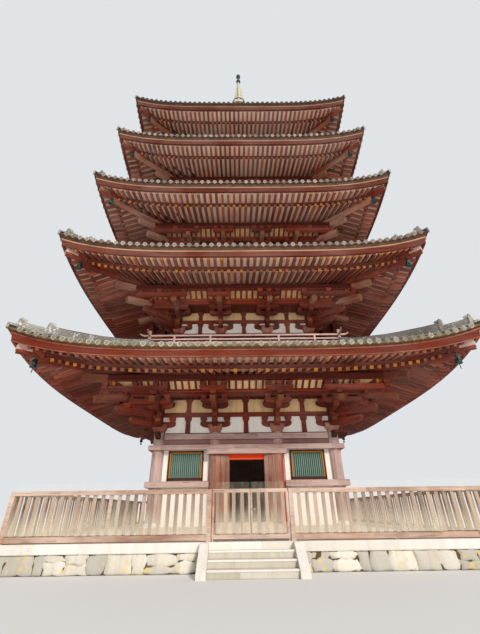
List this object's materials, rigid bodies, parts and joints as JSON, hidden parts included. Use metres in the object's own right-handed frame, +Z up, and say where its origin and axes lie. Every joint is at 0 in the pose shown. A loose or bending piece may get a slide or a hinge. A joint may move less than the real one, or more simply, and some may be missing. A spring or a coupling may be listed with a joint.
{
  "type": "pagoda",
  "caption": "Timber pagoda with stacked tiled roofs on stepped brackets, a bronze spire, opening front doors, a stone podium with steps and a paled fence with a gate.",
  "frame": {"origin": "on the tower's axis at ground level", "axes": "+Z up, -Y out of the front where the steps and the open doorway are, +X to the right seen from the front"},
  "size_m": [15.04, 15.04, 38.84],
  "materials": {
    "timber": "weathered brown-red timber",
    "pale_timber": "bleached timber",
    "door_timber": "worn reddish boards",
    "fence_timber": "silvered timber",
    "plaster": "lime plaster",
    "roof_tile": "smoked clay tile with lichen",
    "granite": "dressed granite",
    "rubble": "rubble stone",
    "bronze": "weathered bronze"
  },
  "bodies": {
    "tower": {"podium_masonry": "rubble", "podium_coping": "granite", "front_steps": "granite", "step_cheek_left": "granite", "step_cheek_right": "granite", "fence_front_left": "fence_timber", "fence_front_right": "fence_timber", "fence_left": "fence_timber", "fence_right": "fence_timber", "fence_back": "fence_timber", "first_floor": "timber", "first_columns": "pale_timber", "first_lintel_beam": "pale_timber", "waist_beam_front_left": "pale_timber", "waist_beam_front_right": "pale_timber", "waist_beam_back_left": "pale_timber", "waist_beam_back_right": "pale_timber", "wall_front_a": "plaster", "wall_front_b": "plaster", "wall_right_a": "plaster", "wall_right_b": "plaster", "wall_back_a": "plaster", "wall_back_b": "plaster", "wall_left_a": "plaster", "wall_left_b": "plaster", "front_doorway": "timber", "right_doorway": "timber", "back_doorway": "timber", "left_doorway": "timber", "first_brackets": "timber", "first_roof": "roof_tile", "second_storey": "timber", "second_balcony": "timber", "second_brackets": "timber", "second_roof": "roof_tile", "third_storey": "timber", "third_balcony": "timber", "third_brackets": "timber", "third_roof": "roof_tile", "fourth_storey": "timber", "fourth_balcony": "timber", "fourth_brackets": "timber", "fourth_roof": "roof_tile", "fifth_storey": "timber", "fifth_balcony": "timber", "fifth_brackets": "timber", "fifth_roof": "roof_tile", "spire_base": "bronze", "spire_mast_and_rings": "bronze", "spire_flame": "bronze", "spire_jewels": "bronze"},
    "door_left": {"front_door_left": "door_timber"},
    "door_right": {"front_door_right": "door_timber"},
    "gate_leaf_left": {"gate_left": "fence_timber"},
    "gate_leaf_right": {"gate_right": "fence_timber"}
  },
  "joints": [
    {"name": "door_left_hinge", "type": "hinge", "parent": "tower", "child": "door_left", "pos_m": [-0.66, -3.59, 2], "axis": [0, 0, 1], "range_deg": [0, 176]},
    {"name": "door_right_hinge", "type": "hinge", "parent": "tower", "child": "door_right", "pos_m": [0.66, -3.59, 2], "axis": [0, 0, -1], "range_deg": [-14, 162]},
    {"name": "gate_left_hinge", "type": "hinge", "parent": "tower", "child": "gate_leaf_left", "pos_m": [-1, -6.43, 1.3], "axis": [0, 0, 1], "range_deg": [0, 92]},
    {"name": "gate_right_hinge", "type": "hinge", "parent": "tower", "child": "gate_leaf_right", "pos_m": [1, -6.43, 1.3], "axis": [0, 0, -1], "range_deg": [0, 92]}
  ]
}
